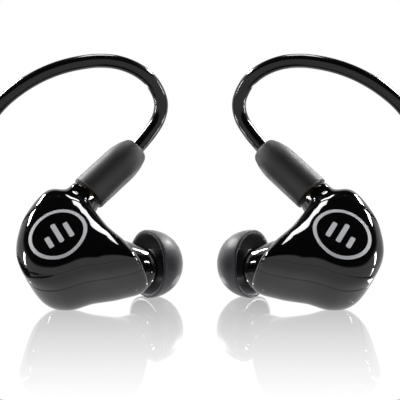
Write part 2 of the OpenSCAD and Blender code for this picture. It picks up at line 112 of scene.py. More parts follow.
@dataclass(frozen=True)
class Finish:
    """A finish, with its typical values and the real size of its pattern.

    Attributes:
        name: The material's name, after the real one.
        slot: The record's material slot; not used.
        colour: Base colour in sRGB hex.
        second: Colour that the pattern varies towards.
        rough: Lowest and highest roughness over the pattern.
        grain: The kind of relief.
        grain_mm: Size of one grain.
        relief_mm: Height of the relief.
        metallic: 1 for bare metal.
        ior: Index of refraction, for what isn't metal.
        sheen: Weight of the fuzz that silicone and cloth show at a grazing angle.
    """

    name: str
    slot: str
    colour: str
    second: str
    rough: tuple[float, float]
    grain: Grain
    grain_mm: float
    relief_mm: float
    metallic: float = 0.0
    ior: float = 1.5
    sheen: float = 0.0

    def pattern(self, tree: bpy.types.NodeTree) -> bpy.types.NodeSocket:
        """Builds the pattern's nodes on Object coordinates.

        Args:
            tree: The material's node tree.

        Returns:
            The pattern from 0 to 1.
        """
        place = add_node(tree, "ShaderNodeTexCoord").outputs["Object"]
        per_metre = 1 / (self.grain_mm * MM)
        if self.grain is Grain.MOULDED:
            return add_node(tree, "ShaderNodeTexNoise", None, {
                "Vector": place, "Scale": per_metre, "Detail": 2.0, "Roughness": 0.45}).outputs["Fac"]
        if self.grain is Grain.SPARKED:
            cells = add_node(tree, "ShaderNodeTexVoronoi", {"feature": "SMOOTH_F1"}, {
                "Vector": place, "Scale": per_metre, "Smoothness": 0.6, "Randomness": 1.0})
            speck = add_node(tree, "ShaderNodeTexNoise", None, {
                "Vector": place, "Scale": per_metre * 1.7, "Detail": 3.0})
            return add_node(tree, "ShaderNodeMath", {"operation": "MULTIPLY_ADD", "use_clamp": True}, {
                0: cells.outputs["Distance"], 1: 0.6, 2: speck.outputs["Fac"]}).outputs[0]
        if self.grain is Grain.BRUSHED:
            drawn = add_node(tree, "ShaderNodeMapping", None, {
                "Vector": place, "Scale": (1.0, 12.0, 1.0)})
            return add_node(tree, "ShaderNodeTexNoise", None, {
                "Vector": drawn.outputs[0], "Scale": per_metre, "Detail": 3.0}).outputs["Fac"]
        threads = [add_node(tree, "ShaderNodeTexWave", {"wave_type": "BANDS", "bands_direction": way}, {
            "Vector": place, "Scale": per_metre / 3.2, "Distortion": 0.6, "Detail": 1.0}).outputs["Fac"]
            for way in ("X", "Z")]
        return add_node(tree, "ShaderNodeMath", {"operation": "MAXIMUM"}, {
            0: threads[0], 1: threads[1]}).outputs[0]

    def build(self) -> bpy.types.Material:
        """Makes the material, or finds it if it is there already."""
        found = bpy.data.materials.get(self.name)
        if found:
            return found
        made = bpy.data.materials.new(self.name)
        made.use_nodes = True
        tree = made.node_tree
        tree.nodes.clear()
        pattern = self.pattern(tree)
        tone = add_node(tree, "ShaderNodeMix", {"data_type": "RGBA"}, {
            "Factor": pattern, 6: linear(self.colour), 7: linear(self.second)})
        rough = add_node(tree, "ShaderNodeMapRange", None, {
            "Value": pattern, "From Min": 0.3, "From Max": 0.7,
            "To Min": self.rough[0], "To Max": self.rough[1]})
        relief = add_node(tree, "ShaderNodeBump", None, {
            "Height": pattern, "Strength": 1.0, "Distance": self.relief_mm * MM})
        surface = add_node(tree, "ShaderNodeBsdfPrincipled", None, {
            "Base Color": tone.outputs[2], "Roughness": rough.outputs[0],
            "Normal": relief.outputs[0], "Metallic": self.metallic, "IOR": self.ior,
            "Sheen Weight": self.sheen, "Sheen Roughness": 0.4})
        add_node(tree, "ShaderNodeOutputMaterial", None, {"Surface": surface.outputs[0]})
        made.diffuse_color = linear(self.colour)
        return made


# Polycarbonate from a mirror-polished mould: near black, and clear reflections with a trace of flow.
GLOSS_SHELL = Finish("polished_polycarbonate", "gloss_shell", "#050506", "#070708", (0.03, 0.06),
                     Grain.MOULDED, 3.0, 0.0001, ior=1.46)
# Silver pad-printing ink: light grey and dull, with a fine metal flake.
BADGE_INK = Finish("silver_pad_ink", "badge_ink", "#a4a5a7", "#97989b", (0.42, 0.5),
                   Grain.SPARKED, 0.12, 0.002)
# Black ABS, moulded with a light texture.
NOZZLE_PLASTIC = Finish("moulded_abs", "nozzle_plastic", "#1b1b1d", "#222225", (0.3, 0.38),
                        Grain.MOULDED, 0.3, 0.002, ior=1.53)
# Woven stainless wire: bright where a wire turns up, dark between.
STEEL_MESH = Finish("stainless_wire_mesh", "steel_mesh", "#b9bbbe", "#8f9194", (0.25, 0.4),
                    Grain.BRUSHED, 0.3, 0.001, metallic=1.0)
# Liquid silicone rubber from a satin mould: soft dark grey with a broad dull sheen.
SILICONE = Finish("satin_silicone", "silicone", "#29292d", "#303034", (0.4, 0.5),
                  Grain.MOULDED, 0.5, 0.0015, ior=1.43, sheen=0.25)
# Gold plate over brass, turned: warm with drawn lines.
GOLD_CONTACT = Finish("gold_plated_brass", "gold_contact", "#d8b263", "#b98f3f", (0.16, 0.28),
                      Grain.BRUSHED, 0.4, 0.0008, metallic=1.0)
# White LCP insulator: matt and faintly grained.
WHITE_INSULATOR = Finish("white_liquid_crystal_polymer", "white_insulator", "#e9e7df", "#dcd9cf",
                         (0.4, 0.5), Grain.MOULDED, 0.3, 0.001, ior=1.6)
# Green solder mask over glass cloth: a faint weave under a clear coat.
BOARD_GREEN = Finish("green_solder_mask", "board_green", "#1f5a3a", "#18492f", (0.25, 0.35),
                     Grain.WOVEN, 0.4, 0.002)
# Pressed stainless steel with rolling lines.
DRIVER_STEEL = Finish("pressed_stainless_steel", "driver_steel", "#9b9ea2", "#85888d", (0.22, 0.34),
                      Grain.BRUSHED, 0.5, 0.001, metallic=1.0)
# Nickel-plated neodymium: darker, with a hammered look from tumbling.
MAGNET_DARK = Finish("nickel_plated_neodymium", "magnet_dark", "#63656a", "#505257", (0.25, 0.4),
                     Grain.SPARKED, 0.25, 0.003, metallic=1.0)
# Enamelled copper winding: fine bright lines round the coil.
COIL_COPPER = Finish("enamelled_copper_wire", "coil_copper", "#b5652e", "#8c4a20", (0.25, 0.4),
                     Grain.BRUSHED, 0.12, 0.004, metallic=1.0)
# Formed polyester film: pale, with a soft gloss.
DIAPHRAGM_FILM = Finish("formed_polyester_film", "diaphragm_film", "#d8cfae", "#cbbf98", (0.3, 0.4),
                        Grain.MOULDED, 0.6, 0.003, ior=1.64)
# Nickel plate on turned brass: cool and bright.
PLUG_STEEL = Finish("nickel_plated_brass", "plug_steel", "#cfd0d2", "#b4b6b9", (0.12, 0.2),
                    Grain.BRUSHED, 0.5, 0.0008, metallic=1.0)
# Thermoplastic rubber from a sparked mould: matt black that catches a wide soft light.
MATTE_BARREL = Finish("sparked_thermoplastic_rubber", "matte_barrel", "#0e0e10", "#141416",
                      (0.46, 0.54), Grain.SPARKED, 0.22, 0.002, ior=1.5)
# Polyolefin heat-shrink tube over the formed hook: glossy black with slight ripples.
HOOK_TUBE = Finish("polyolefin_shrink_tube", "hook_tube", "#070708", "#0a0a0b", (0.12, 0.17),
                   Grain.MOULDED, 1.6, 0.0008, ior=1.38)
# TPE cable jacket: black, extruded with a dull skin.
CORD_JACKET = Finish("extruded_tpe_jacket", "cord_jacket", "#141415", "#1b1b1d", (0.36, 0.46),
                     Grain.MOULDED, 0.5, 0.006)
# Soft PVC mouldings on the cable: matt black, sparked.
SOFT_BLACK = Finish("moulded_soft_pvc", "soft_black", "#171719", "#1e1e21", (0.4, 0.5),
                    Grain.SPARKED, 0.25, 0.004, ior=1.53)
# Nylon hook-and-loop tie: a plain weave with fuzz.
TIE_FABRIC = Finish("woven_nylon_tie", "tie_fabric", "#161617", "#2b2b2e", (0.6, 0.75),
                    Grain.WOVEN, 0.5, 0.03, sheen=0.4)
# Black insulating rings of the jack: moulded and shiny.
BLACK_INSULATOR = Finish("black_nylon_insulator", "black_insulator", "#101012", "#17171a", (0.2, 0.3),
                         Grain.MOULDED, 0.3, 0.001, ior=1.53)


# ---------- meshes ----------
def scaled(*steps: Matrix) -> Matrix:
    """The product of the steps, from millimetres to the row frame's metres."""
    made = Matrix.Scale(MM, 4)
    for step in steps:
        made = made @ step
    return made


def finish_mesh(data: bpy.types.Mesh, sharp: float = SHARP) -> bpy.types.Mesh:
    """Merges doubles, turns the faces outwards and smooths all but the sharp edges.

    Args:
        data: A closed mesh.
        sharp: Edges that turn more than this many degrees stay sharp.

    Returns:
        The same mesh.
    """
    work = bmesh.new()
    work.from_mesh(data)
    bmesh.ops.remove_doubles(work, verts=work.verts, dist=1e-7)
    bmesh.ops.recalc_face_normals(work, faces=work.faces)
    work.to_mesh(data)
    work.free()
    data.shade_smooth()
    data.set_sharp_from_angle(angle=math.radians(sharp))
    return data


def put(name: str, data: bpy.types.ID) -> bpy.types.Object:
    """Puts new data into the scene as an object at the origin."""
    made = bpy.data.objects.new(name, data)
    bpy.context.scene.collection.objects.link(made)
    return made


def show(name: str, data: bpy.types.Mesh, finish: Finish) -> bpy.types.Object:
    """Puts a mesh in the scene in its finish.

    Args:
        name: The piece's name.
        data: Its mesh, already in the row frame.
        finish: Its finish.

    Returns:
        The new object, at the origin.
    """
    data.name = name
    data.materials.clear()
    data.materials.append(finish.build())
    made = put(name, data)
    return made


def solid(name: str, points: Points, faces: Faces, place: Matrix, finish: Finish,
          sharp: float = SHARP) -> bpy.types.Object:
    """Makes a piece from points and faces.

    Args:
        name: The piece's name.
        points: Its points, in the place's own millimetres.
        faces: Its faces, as indices.
        place: From those millimetres to the row frame.
        finish: Its finish.
        sharp: Edges that turn more than this many degrees stay sharp.

    Returns:
        The piece.
    """
    data = bpy.data.meshes.new(name)
    data.from_pydata([tuple(p) for p in points], [], faces)
    data.transform(place)
    return show(name, finish_mesh(data, sharp), finish)


def settle(piece: bpy.types.Object, sharp: float = SHARP) -> bpy.types.Object:
    """Turns a piece's modifiers into its mesh.

    Args:
        piece: The piece with modifiers.
        sharp: Edges that turn more than this many degrees stay sharp.

    Returns:
        The same piece, with none.
    """
    bpy.context.view_layer.update()
    seen = piece.evaluated_get(bpy.context.evaluated_depsgraph_get())
    data = bpy.data.meshes.new_from_object(seen)
    piece.modifiers.clear()
    piece.data = finish_mesh(data, sharp)
    return piece


def rounded(corners: Sequence[tuple[float, float, float]],
            steps: int = 5) -> list[tuple[float, float]]:
    """Rounds the corners of a section.

    Args:
        corners: Radius, height and rounding of each corner, in order.
        steps: Points along each rounding.

    Returns:
        The section's points.
    """
    made: list[tuple[float, float]] = []
    count = len(corners)
    for i, (r, z, soft) in enumerate(corners):
        here = np.array([r, z])
        if soft <= 0:
            made.append((r, z))
            continue
        ends = []
        for other in (corners[i - 1], corners[(i + 1) % count]):
            way = np.array(other[:2]) - here
            ends.append(here + way / np.linalg.norm(way) * min(soft, np.linalg.norm(way) * 0.48))
        for t in np.linspace(0, 1, steps):
            point = (1 - t) ** 2 * ends[0] + 2 * t * (1 - t) * here + t ** 2 * ends[1]
            made.append((float(point[0]), float(point[1])))
    return made


def bands(rings: int, count: int, wrap: bool = False) -> Faces:
    """Quads between neighbouring rings of points.

    Args:
        rings: Number of rings.
        count: Points in each ring, which is closed on itself.
        wrap: True if the last ring joins the first.

    Returns:
        The faces.
    """
    return [(i * count + k, i * count + (k + 1) % count, (i + 1) % rings * count + (k + 1) % count,
             (i + 1) % rings * count + k)
            for i in range(rings if wrap else rings - 1) for k in range(count)]


def lathe(section: Sequence[tuple[float, float]], sides: int = 96,
          closed: bool = True) -> tuple[Points, Faces]:
    """Turns a section round the Z axis.

    Args:
        section: Radius and height of each point.
        sides: Steps round the axis.
        closed: True for a ring, whose last point joins its first. False for a section that starts
            and ends on the axis.

    Returns:
        Points and faces.
    """
    turn = np.linspace(0, 2 * math.pi, sides, endpoint=False)
    points: list[tuple[float, float, float]] = []
    rings: list[list[int]] = []
    for r, z in section:
        start = len(points)
        if r < 1e-6:
            points.append((0.0, 0.0, z))
            rings.append([start] * sides)
        else:
            points.extend((r * math.cos(a), r * math.sin(a), z) for a in turn)
            rings.append(list(range(start, start + sides)))
    faces: Faces = []
    for low, high in zip(rings, rings[1:] + ([rings[0]] if closed else [])):
        for k in range(sides):
            m = (k + 1) % sides
            corner = (low[k], low[m], high[m], high[k])
            face = tuple(dict.fromkeys(corner))
            if len(face) > 2:
                faces.append(face)
    return np.array(points), faces


def cut(piece: bpy.types.Object, place: Matrix, radius: float, low: float, high: float) -> None:
    """Bores a round hole.

    Args:
        piece: The piece to bore.
        place: The hole's axis, from millimetres to the row frame.
        radius: The hole's radius.
        low: Where it starts along the axis.
        high: Where it ends.
    """
    points, faces = lathe([(0, low), (radius, low), (radius, high), (0, high)], 64, closed=False)
    data = bpy.data.meshes.new("bore")
    data.from_pydata([tuple(p) for p in points], [], faces)
    data.transform(place)
    tool = put("bore", finish_mesh(data))
    bore = piece.modifiers.new("bore", "BOOLEAN")
    bore.operation, bore.solver, bore.object = "DIFFERENCE", "MANIFOLD", tool
    settle(piece)
    bpy.data.objects.remove(tool)
    bpy.data.meshes.remove(data)


# ---------- geometry nodes ----------
@dataclass
class Rule:
    """A Geometry Nodes tree with named inputs, turned into a plain mesh when it is used.

    Attributes:
        name: The tree's name.
        sizes: Each input's name and value in millimetres, or a count.
        counts: Names of the inputs that are counts.
    """

    name: str
    sizes: dict[str, float]
    counts: tuple[str, ...] = ()
    tree: bpy.types.NodeTree = field(init=False)
    start: bpy.types.Node = field(init=False)

    def __post_init__(self) -> None:
        """Starts the tree and gives it its inputs."""
        self.tree = bpy.data.node_groups.new(self.name, "GeometryNodeTree")
        face = self.tree.interface
        face.new_socket(name="Geometry", in_out="INPUT", socket_type="NodeSocketGeometry")
        for name in self.sizes:
            kind = "NodeSocketInt" if name in self.counts else "NodeSocketFloat"
            face.new_socket(name=name, in_out="INPUT", socket_type=kind)
        face.new_socket(name="Finish", in_out="INPUT", socket_type="NodeSocketMaterial")
        face.new_socket(name="Geometry", in_out="OUTPUT", socket_type="NodeSocketGeometry")
        self.start = self.tree.nodes.new("NodeGroupInput")

    def add(self, kind: str, settings: dict[str, Any] | None = None,
            inputs: dict[Any, Any] | None = None) -> bpy.types.Node:
        """Adds a node to this tree."""
        return add_node(self.tree, kind, settings, inputs)

    def math(self, operation: str, *values: Any) -> bpy.types.NodeSocket:
        """Adds a sum and gives its result."""
        return self.add("ShaderNodeMath", {"operation": operation}, dict(enumerate(values))).outputs[0]

    def size(self, name: str) -> bpy.types.NodeSocket:
        """The named input's socket."""
        return self.start.outputs[name]

    def end(self, shape: bpy.types.NodeSocket) -> None:
        """Ends the tree in real, smooth geometry in its finish."""
        real = self.add("GeometryNodeRealizeInstances", None, {"Geometry": shape})
        smooth = self.add("GeometryNodeSetShadeSmooth", None, {"Geometry": real.outputs[0]})
        dressed = self.add("GeometryNodeSetMaterial", None, {
            "Geometry": smooth.outputs[0], "Material": self.size("Finish")})
        self.add("NodeGroupOutput", None, {0: dressed.outputs[0]})

    def make(self, name: str, place: Matrix, finish: Finish,
             path: Points | None = None, sharp: float = SHARP) -> bpy.types.Object:
        """Runs the tree on a piece and keeps the result as a plain mesh.

        Args:
            name: The piece's name.
            place: From the tree's millimetres to the row frame.
            finish: The piece's finish.
            path: Points of the line that the tree follows, if it follows one.
            sharp: Edges that turn more than this many degrees stay sharp.

        Returns:
            The piece, at the origin.
        """
        line = bpy.data.meshes.new(name + "_line")
        if path is not None:
            line.from_pydata([tuple(p) for p in path], [(i, i + 1) for i in range(len(path) - 1)], [])
        piece = put(name, line)
        rule = piece.modifiers.new(self.name, "NODES")
        rule.node_group = self.tree
        for item in self.tree.interface.items_tree:
            if item.in_out == "INPUT" and item.name in self.sizes:
                value = self.sizes[item.name]
                rule[item.identifier] = int(value) if item.name in self.counts else float(value)
            elif item.in_out == "INPUT" and item.name == "Finish":
                rule[item.identifier] = finish.build()
        settle(piece, sharp)
        piece.data.name = name
        piece.data.transform(place)
        if place.to_3x3().determinant() < 0:
            piece.data.flip_normals()
        bpy.data.meshes.remove(line)
        if not piece.data.materials:
            piece.data.materials.append(finish.build())
        return piece


def tube_rule(radius: float, sides: int = 28) -> Rule:
    """A round tube along a line."""
    rule = Rule("round_tube", {"Radius": radius, "Sides": sides}, ("Sides",))
    line = rule.add("GeometryNodeMeshToCurve", None, {"Mesh": rule.size("Geometry")})
    ring = rule.add("GeometryNodeCurvePrimitiveCircle", None, {
        "Resolution": rule.size("Sides"), "Radius": rule.size("Radius")})
    tube = rule.add("GeometryNodeCurveToMesh", None, {
        "Curve": line.outputs[0], "Profile Curve": ring.outputs[0], "Fill Caps": True})
    rule.end(tube.outputs[0])
    return rule


def rib_rule(count: int, start_r: float, end_r: float, length: float, thick: float) -> Rule:
    """Ribs round a tapered strain relief, evenly along its axis."""
    rule = Rule("strain_relief_ribs", {
        "Ribs": count, "Start radius": start_r, "End radius": end_r, "Length": length,
        "Thickness": thick},
        ("Ribs",))
    line = rule.add("GeometryNodeMeshLine", {"mode": "OFFSET"}, {"Count": rule.size("Ribs")})
    step = rule.add("ShaderNodeCombineXYZ", None, {
        "Z": rule.math("DIVIDE", rule.size("Length"), rule.math("SUBTRACT", rule.size("Ribs"), 1.0))})
    rule.tree.links.new(step.outputs[0], line.inputs["Offset"])
    ring = rule.add("GeometryNodeCurvePrimitiveCircle", None, {"Resolution": 48, "Radius": 1.0})
    bead = rule.add("GeometryNodeCurvePrimitiveCircle", None, {
        "Resolution": 8, "Radius": rule.size("Thickness")})
    index = rule.add("GeometryNodeInputIndex").outputs[0]
    along = rule.math("DIVIDE", index, rule.math("SUBTRACT", rule.size("Ribs"), 1.0))
    width = rule.math("ADD", rule.size("Start radius"), rule.math(
        "MULTIPLY", along, rule.math("SUBTRACT", rule.size("End radius"), rule.size("Start radius"))))
    scale = rule.add("ShaderNodeCombineXYZ", None, {"X": width, "Y": width, "Z": 1.0})
    rib = rule.add("GeometryNodeCurveToMesh", None, {
        "Curve": ring.outputs[0], "Profile Curve": bead.outputs[0]})
    put = rule.add("GeometryNodeInstanceOnPoints", None, {
        "Points": line.outputs[0], "Instance": rib.outputs[0], "Scale": scale.outputs[0]})
    rule.end(put.outputs[0])
    return rule


def weave_rule(radius: float, wires: int, wire_r: float) -> Rule:
    """Two sets of crossing wires, each as long as the round opening is wide there."""
    rule = Rule("wire_weave", {"Radius": radius, "Wires": wires, "Wire radius": wire_r}, ("Wires",))
    joined = rule.add("GeometryNodeJoinGeometry")
    for turn in (0.0, math.pi / 2):
        line = rule.add("GeometryNodeMeshLine", {"mode": "END_POINTS"}, {"Count": rule.size("Wires")})
        edge = rule.math("MULTIPLY", rule.size("Radius"), 0.97)
        for name, sign in (("Start Location", -1.0), ("Offset", 1.0)):
            end = rule.add("ShaderNodeCombineXYZ", None, {"X": rule.math("MULTIPLY", edge, sign)})
            rule.tree.links.new(end.outputs[0], line.inputs[name])
        place = rule.add("GeometryNodeInputPosition").outputs[0]
        across = rule.add("ShaderNodeSeparateXYZ", None, {0: place}).outputs[0]
        square = rule.math("SUBTRACT", rule.math("MULTIPLY", rule.size("Radius"), rule.size("Radius")),
                           rule.math("MULTIPLY", across, across))
        half = rule.math("SQRT", square)
        wire = rule.add("GeometryNodeMeshCylinder", None, {
            "Vertices": 8, "Radius": rule.size("Wire radius"), "Depth": 2.0})
        scale = rule.add("ShaderNodeCombineXYZ", None, {"X": 1.0, "Y": 1.0, "Z": half})
        put = rule.add("GeometryNodeInstanceOnPoints", None, {
            "Points": line.outputs[0], "Instance": wire.outputs[0],
            "Rotation": (math.pi / 2, 0.0, 0.0), "Scale": scale.outputs[0]})
        level = rule.math("MULTIPLY", rule.size("Wire radius"), 0.8 if turn else -0.8)
        lift = rule.add("ShaderNodeCombineXYZ", None, {"Z": level})
        real = rule.add("GeometryNodeRealizeInstances", None, {"Geometry": put.outputs[0]})
        turned = rule.add("GeometryNodeTransform", None, {
            "Geometry": real.outputs[0], "Translation": lift.outputs[0], "Rotation": (0.0, 0.0, turn)})
        rule.tree.links.new(turned.outputs[0], joined.inputs[0])
    rule.end(joined.outputs[0])
    return rule


# ---------- curves ----------
def smooth_line(points: Sequence[Sequence[float]], steps: int, closed: bool = False) -> Points:
    """Runs a smooth curve through points.

    Args:
        points: The points, in order.
        steps: Steps from each point to the next.
        closed: True if the last point joins the first.

    Returns:
        Points along the curve.
    """
    p = np.array(points, float)
    count = len(p)
    made = []
    for i in range(count if closed else count - 1):
        if closed:
            a, b, c, d = (p[(i + k) % count] for k in (-1, 0, 1, 2))
        else:
            b, c = p[i], p[i + 1]
            a = 2 * b - c if i == 0 else p[i - 1]
            d = 2 * c - b if i == count - 2 else p[i + 2]
        for t in np.arange(steps) / steps:
            made.append(0.5 * (2 * b + (c - a) * t + (2 * a - 5 * b + 4 * c - d) * t ** 2
                               + (3 * b - 3 * c + d - a) * t ** 3))
    if not closed:
        made.append(p[-1])
    return np.array(made)


def cord_curve(name: str, points: Sequence[Sequence[float]], diameter: float, finish: Finish,
               steps: int = 6) -> tuple[bpy.types.Object, float]:
    """Makes a cord as one open curve through its route's points.

    Args:
        name: The cord's name.
        points: The route, in millimetres, in the row frame.
        diameter: The cord's diameter in millimetres.
        finish: Its jacket.
        steps: Steps from each point to the next.

    Returns:
        The cord, and its length in metres.
    """
    p = np.array(points, float) * MM
    data = bpy.data.curves.new(name, "CURVE")
    data.dimensions = "3D"
    data.bevel_depth = diameter * MM / 2
    data.bevel_resolution = 4
    data.resolution_u = steps
    data.use_fill_caps = True
    line = data.splines.new("BEZIER")
    line.bezier_points.add(len(p) - 1)
    for i, knot in enumerate(line.bezier_points):
        before = p[i - 1] if i else 2 * p[0] - p[1]
        after = p[i + 1] if i < len(p) - 1 else 2 * p[-1] - p[-2]
        reach = (after - before) / 6
        knot.co = p[i]
        knot.handle_left, knot.handle_right = p[i] - reach, p[i] + reach
    data.materials.append(finish.build())
    made = put(name, data)
    path = smooth_line(p, steps)
    return made, float(np.linalg.norm(np.diff(path, axis=0), axis=1).sum())


# ---------- places ----------
class Side(Enum):
    """Which earphone, and the sign that its X takes."""

    LEFT = 1
    RIGHT = -1

    @property
    def word(self) -> str:
        """The name that the side's nodes start with."""
        return self.name.lower()


@dataclass(frozen=True)
class Places:
    """Where the shell, the plug and the nozzle of one earphone are."""

    side: Side
    shell_at: tuple[float, float, float] = (-24.3, -4.8, 11.23)
    shell_turn: tuple[float, float, float] = (32.7, -26.4, 15.4)
    rim_at: tuple[float, float, float] = (12.5, -2.3, -12.5)
    nozzle_turn: float = 126.87

    def base(self) -> Matrix:
        """The side's millimetres to the row frame."""
        return scaled(Matrix.Translation((0, STAND_Y, 0)), Matrix.Diagonal((self.side.value, 1, 1, 1)))

    def shell(self) -> Matrix:
        """The seam plane's frame, its Z out of the face."""
        turn = Euler([math.radians(a) for a in self.shell_turn], "XYZ").to_matrix().to_4x4()
        return self.base() @ Matrix.Translation(self.shell_at) @ turn

    def plug(self) -> Matrix:
        """The plug's axis, from the barrel's lower end up."""
        return (self.shell() @ Matrix.Translation(PLUG_AT)
                @ Matrix.Rotation(math.radians(PLUG_TURN), 4, "Z")
                @ Matrix.Rotation(math.pi / 2, 4, "Y"))

    def nozzle(self) -> Matrix:
        """The nozzle's axis, from the ear tip's rim out."""
        return (self.shell() @ Matrix.Translation(self.rim_at)
                @ Matrix.Rotation(math.radians(self.nozzle_turn), 4, "Y"))


# ---------- earphone ----------
@dataclass
class ShellForm:
    """The rounded body of an earphone: two domes on one outline, a lobe for the nozzle and a boss."""

    seam: tuple[tuple[float, float], ...] = (
        (-7.8, 1.1), (-7.6, -4.2), (-4.6, -7.5), (0.8, -9.2), (5.4, -11.4), (10, -12.6), (10.2, -8.1),
        (9, -2.6), (8.5, 2.1), (7.6, 7.1), (3.7, 11.8), (-2, 9.5), (-5.7, 5.6))
    face_h: float = 5.0
    ear_h: float = 10.4
    power: float = 3.5
    wall: float = 0.8
    lobe: tuple[tuple[float, float, float, float], ...] = ((5, -3.6, -5, 5.6), (9.8, -4.4, -9.3, 4.3))
    boss_r: float = 3.2
    boss_from: float = -7.0
    boss_to: float = -0.4
    boss_edge: float = 0.45
    lobe_fillet: float = 2.0
    boss_fillet: float = 1.1
    groove_half: float = 0.16
    groove_deep: float = 0.13

    def __post_init__(self) -> None:
        """Works out the outline's radius at each angle."""
        self.outline = smooth_line([(x, y, 0) for x, y in self.seam], 22, closed=True)
        angle = np.arctan2(self.outline[:, 1], self.outline[:, 0])
        order = np.argsort(angle)
        self.angles = angle[order]
        self.radii = np.hypot(self.outline[:, 0], self.outline[:, 1])[order]

    def outline_radius(self, x: Points, y: Points) -> Points:
        """The outline's distance from its middle, in the direction of each point."""
        return np.interp(np.arctan2(y, x), self.angles, self.radii, period=2 * math.pi)

    def face_level(self, x: Points, y: Points) -> Points:
        """Height of the face above the seam at each point."""
        share = np.hypot(x, y) / self.outline_radius(x, y)
        return self.face_h * np.maximum(1 - share ** self.power, 0) ** (1 / self.power)

    def outside(self, p: Points) -> Points:
        """How far each point is outside the body, and below zero inside.

        Args:
            p: Points in the shell's frame.

        Returns:
            One distance for each point.
        """
        x, y, z = p.T
        high = np.where(z > 0, self.face_h, self.ear_h)
        share = np.hypot(x, y) / self.outline_radius(x, y)
        level = (share ** self.power + (np.abs(z) / high) ** self.power) ** (1 / self.power)
        reach = np.linalg.norm(p, axis=1)
        dome = reach * (1 - 1 / np.maximum(level, 1e-6))
        a, b = (np.array(end[:3], float) for end in self.lobe)
        along = np.clip((p - a) @ (b - a) / ((b - a) @ (b - a)), 0, 1)
        lobe_r = self.lobe[0][3] + along * (self.lobe[1][3] - self.lobe[0][3])
        lobe = np.linalg.norm(p - (a + along[:, None] * (b - a)), axis=1) - lobe_r
        axis = np.array([math.cos(math.radians(PLUG_TURN)), math.sin(math.radians(PLUG_TURN)), 0])
        from_plug = p - np.array(PLUG_AT)
        height = from_plug @ axis
        off = (np.linalg.norm(from_plug - height[:, None] * axis, axis=1)
               - (self.boss_r - self.boss_edge))
        middle, half = (self.boss_from + self.boss_to) / 2, (self.boss_to - self.boss_from) / 2
        up = np.abs(height - middle) - (half - self.boss_edge)
        boss = (np.minimum(np.maximum(off, up), 0)
                + np.hypot(np.maximum(off, 0), np.maximum(up, 0)) - self.boss_edge)
        return self.melt(self.melt(dome, lobe, self.lobe_fillet), boss, self.boss_fillet)

    @staticmethod
    def melt(a: Points, b: Points, fillet: float) -> Points:
        """Joins two bodies with a fillet between them."""
        share = np.clip(0.5 + 0.5 * (b - a) / fillet, 0, 1)
        return b + (a - b) * share - fillet * share * (1 - share)

    def half(self, sign: int, rings: int = 64) -> tuple[Points, Faces]:
        """The outer surface of one half, open at the seam.

        Args:
            sign: 1 for the face half, -1 for the ear half.
            rings: Steps from the seam to the pole.

        Returns:
            Points and faces.
        """
        high = self.face_h if sign > 0 else self.ear_h
        fine = np.linspace(0, math.pi / 2, 4000)
        share, level = np.cos(fine) ** (2 / self.power), np.sin(fine) ** (2 / self.power)
        run = np.concatenate([[0], np.cumsum(np.hypot(np.diff(9.5 * share), np.diff(high * level)))])
        at = np.interp(np.linspace(0, run[-1], rings + 1)[1:-1], run, fine)
        near_seam = np.arcsin((np.array([0.04, 0.08, 0.12, 0.17]) / high) ** (self.power / 2))
        at = np.concatenate([[0], near_seam, at[at > near_seam[-1] * 1.2]])
        rows = [np.c_[self.outline[:, :2] * math.cos(a) ** (2 / self.power),
                      np.full(len(self.outline), sign * high * math.sin(a) ** (2 / self.power))]
                for a in at]
        start = np.concatenate(rows + [np.array([[0, 0, sign * high]])])
        reach = np.linalg.norm(start, axis=1)
        way = start / reach[:, None]
        low, far = reach * 0.5, reach * 3
        for _ in range(45):
            middle = (low + far) / 2
            inside = self.outside(way * middle[:, None]) < 0
            low, far = np.where(inside, middle, low), np.where(inside, far, middle)
        points = way * low[:, None]
        depth = self.groove_deep * np.clip(1 - np.abs(points[:, 2]) / self.groove_half, 0, 1) ** 1.5
        flat = np.hypot(points[:, 0], points[:, 1])
        points[:, :2] *= (1 - depth / np.maximum(flat, 1))[:, None]
        n = len(self.outline)
        faces = bands(len(at), n)
        top = (len(at) - 1) * n
        faces += [(top + k, top + (k + 1) % n, top + n) for k in range(n)]
        if sign < 0:
            faces = [face[::-1] for face in faces]
        return points, faces


